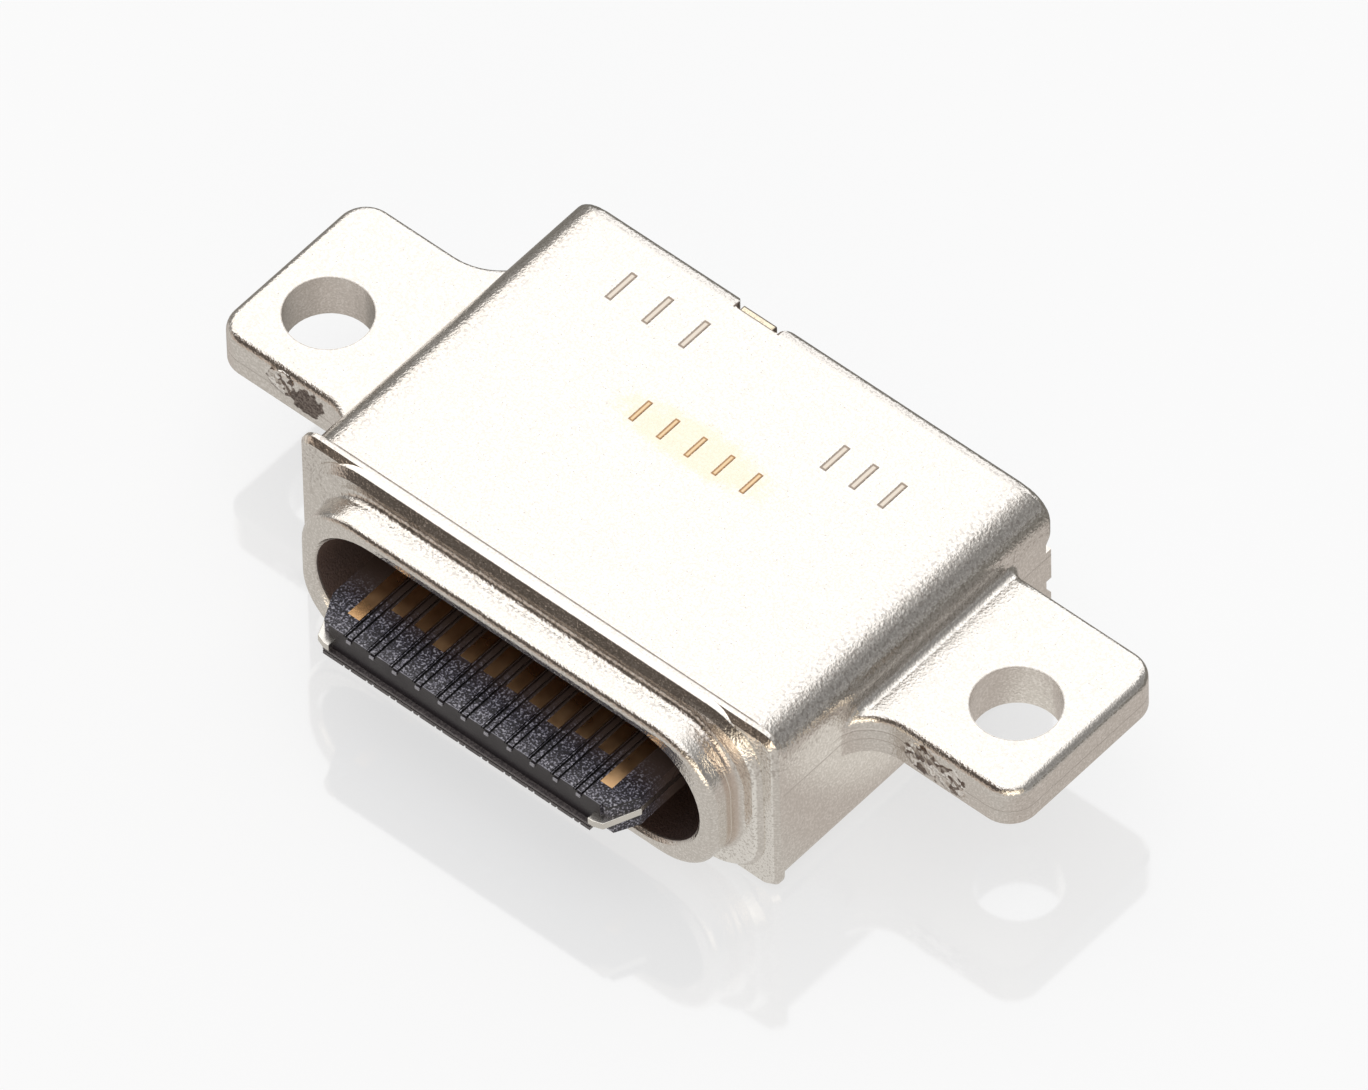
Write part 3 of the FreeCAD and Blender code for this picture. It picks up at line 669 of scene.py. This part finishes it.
def dress_nodes():
    """Gives every node its material, and puts smooth copies in place of the shell and two plates."""
    nickel = satin_nickel()
    steel = bright_steel()
    gold = satin_gold()
    resin = black_resin()
    seal = seal_resin()
    for name in NODES:
        if "_contact_a" in name or "_contact_b" in name:
            dress(name, gold)
    for name in ("tongue_insulator", "upper_contact_carrier", "lower_contact_carrier"):
        dress(name, resin)
    for name in ("upper_ground_plate", "lower_ground_plate"):
        dress(name, steel)
    dress("rear_seal", seal)
    casting = smooth_copy("shell", "moulded_shell", nickel, stamped=False)
    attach(casting, "root")
    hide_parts("shell")
    for name, piece_name, slot in (("rear_plate", "stamped_rear_plate", "rear_plate_steel"),
                                   ("mid_plate", "stamped_mid_plate", "mid_plate_steel")):
        plate = smooth_copy(name, piece_name, steel, stamped=True)
        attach(plate, "root")
        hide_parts(name)


def floor_mirror(sheet):
    """Tone that metal mirrors of the floor: pale in front, with a painted pool of light under the right hole, dark
    behind and far out.
    """
    place = sheet.add("ShaderNodeTexCoord")
    x, y = sheet.split(place.outputs["Object"])[:2]
    right_far = sheet.smooth_step(x, 9 * MM, 20 * MM)
    left_far = sheet.all_of(sheet.smooth_step(sheet.times(x, -1.0), 4 * MM, 8 * MM),
                            sheet.smooth_step(y, -1.0 * MM, 0.5 * MM))
    in_front = sheet.smooth_step(y, -1.2 * MM, -2.8 * MM)
    behind = sheet.smooth_step(y, 5.5 * MM, 7.5 * MM)
    from_hole = sheet.length(sheet.minus(x, 6.7 * MM), sheet.minus(y, 0.4 * MM))
    tone = sheet.mix(right_far, (0.59, 0.545, 0.507), (0.49, 0.48, 0.465))
    # Painted light: a pale pool under the right ear, where light falls through its screw hole
    tone = sheet.mix(sheet.smooth_step(from_hole, 1.5 * MM, 0.9 * MM), tone, (0.79, 0.76, 0.71))
    tone = sheet.mix(in_front, tone, (0.64, 0.615, 0.58))
    tone = sheet.mix(left_far, tone, (0.317, 0.295, 0.27))
    return sheet.mix(behind, tone, (0.23, 0.22, 0.20))


def lay_floor():
    """Pale gloss board that the part stands on. Its glow stands for the light that fills the studio."""
    half = 0.6
    mesh = bpy.data.meshes.new("floor")
    mesh.from_pydata([(-half, -half, 0), (half, -half, 0), (half, half, 0), (-half, half, 0)], [], [(0, 1, 2, 3)])
    floor = bpy.data.objects.new("floor", mesh)
    bpy.context.scene.collection.objects.link(floor)
    material = bpy.data.materials.new("gloss_board")
    material.use_nodes = True
    sheet = Sheet(material.node_tree)
    out = sheet.add("ShaderNodeOutputMaterial")
    board = sheet.add("ShaderNodeBsdfPrincipled", Base_Color=(0.2, 0.2, 0.2, 1), Roughness=0.07, IOR=1.8,
                      Emission_Color=(0.650, 0.655, 0.662, 1), Emission_Strength=1.0)
    mirrored = sheet.add("ShaderNodeEmission", Strength=1.0)
    sheet.join(floor_mirror(sheet), mirrored.inputs["Color"])
    sheet.join(sheet.by_ray("Is Glossy Ray", board, mirrored), out.inputs["Surface"])
    mesh.materials.append(material)


def studio_glow(sheet):
    """Light from above and behind; low down it is dim on the left, in front and on the right."""
    place = sheet.add("ShaderNodeTexCoord")
    x, y, z = sheet.split(place.outputs["Generated"])
    flat = sheet.math("MAXIMUM", sheet.length(x, y), 0.001)
    rightward = sheet.over(x, flat)
    rearward = sheet.over(y, flat)
    height = sheet.times(sheet.plus(z, 1.0), 0.5)

    def by_height(tint, *stops):
        return sheet.ramp(height, *(((up + 1) / 2, tuple(level * part for part in tint)) for up, level in stops))

    rear = by_height(grey(1), (-0.12, 0.2), (0.02, 1.0))
    left = by_height((1, 0.97, 0.93), (0.35, 0.22), (0.41, 1.06))
    right = by_height((1, 0.985, 0.965), (-0.10, 0.33), (0.02, 0.31), (0.2, 0.21), (0.4, 0.19), (0.555, 0.23),
                      (0.685, 0.30), (0.77, 0.40), (0.843, 0.57), (0.876, 0.82), (0.93, 1.03))
    front = by_height((1, 0.84, 0.72), (0.10, 0.44), (0.24, 0.30), (0.34, 0.08), (0.66, 0.07), (0.74, 0.20),
                      (0.80, 0.45))
    front_high = by_height(grey(1), (0.79, 0.0), (0.84, 1.0))
    front = sheet.mix(1.0, front, front_high, "LIGHTEN")
    glow = sheet.mix(sheet.smooth_step(rightward, -0.60, -0.85), rear, left)
    glow = sheet.mix(sheet.smooth_step(rightward, 0.0, 0.35), glow, right)
    glow = sheet.mix(sheet.smooth_step(rearward, -0.15, -0.62), glow, front)

    # Bright window low down in front on the right, with a dim border round it
    window_way = sheet.minus(sheet.times(rightward, 0.766), sheet.times(rearward, 0.643))
    border = sheet.all_of(sheet.smooth_step(window_way, 0.84, 0.90), sheet.smooth_step(z, 0.66, 0.56))
    glow = sheet.mix(border, glow, (0.52, 0.45, 0.35))
    window = sheet.all_of(sheet.smooth_step(window_way, 0.91, 0.95), sheet.smooth_step(z, 0.52, 0.45))
    return sheet.mix(window, glow, (1.30, 1.17, 0.98))


def light_studio():
    """Makes the soft studio light, and the plain backdrop that the camera sees in its place."""
    world = bpy.data.worlds.new("studio")
    bpy.context.scene.world = world
    world.use_nodes = True
    sheet = Sheet(world.node_tree)
    out = sheet.add("ShaderNodeOutputWorld")
    dome = sheet.add("ShaderNodeBackground", Strength=STUDIO_STRENGTH)
    sheet.join(studio_glow(sheet), dome.inputs["Color"])
    backdrop = sheet.add("ShaderNodeBackground", Color=(1, 1, 1, 1), Strength=BACKDROP_STRENGTH)
    sheet.join(sheet.by_ray("Is Camera Ray", dome, backdrop), out.inputs["Surface"])


def main():
    bpy.context.scene.view_settings.view_transform = "Standard"
    aim_camera()
    lay_floor()
    light_studio()
    dress_nodes()


main()
